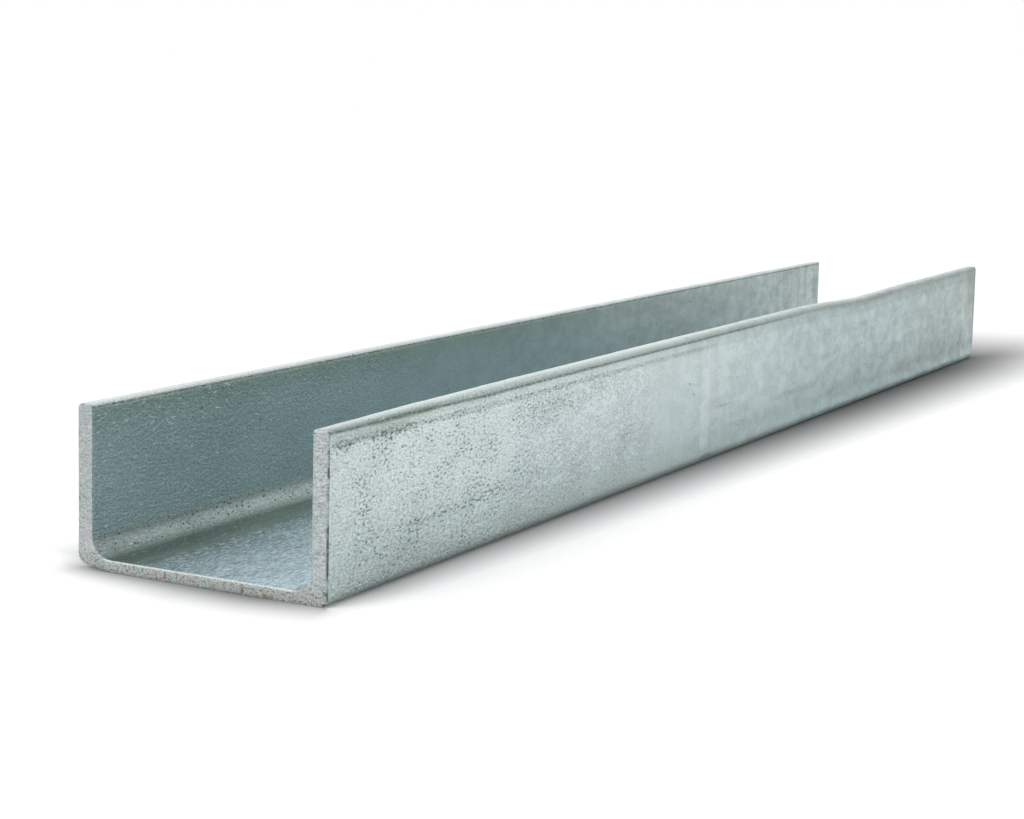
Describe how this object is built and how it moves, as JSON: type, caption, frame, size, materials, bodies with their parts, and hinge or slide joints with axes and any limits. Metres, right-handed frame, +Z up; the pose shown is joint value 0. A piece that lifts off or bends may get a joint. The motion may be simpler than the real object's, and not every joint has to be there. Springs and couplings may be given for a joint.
{
  "type": "c channel post",
  "caption": "Cut length of galvanised hot-rolled steel channel with parallel flanges, lying on its web, used as a post that holds sleepers or panels between its flanges.",
  "frame": {"origin": "middle of the overall box at floor level, on the back of the web", "axes": "+X along the length, +Y across the web, +Z up from the back of the web to the flange toes"},
  "size_m": [0.73, 0.125, 0.065],
  "materials": {
    "galvanised_steel": "hot-dip galvanised hot-rolled steel, matte grey zinc with fine grain, pits and lumps"
  },
  "bodies": {
    "root": {"c_channel_post": "galvanised_steel"}
  },
  "joints": []
}
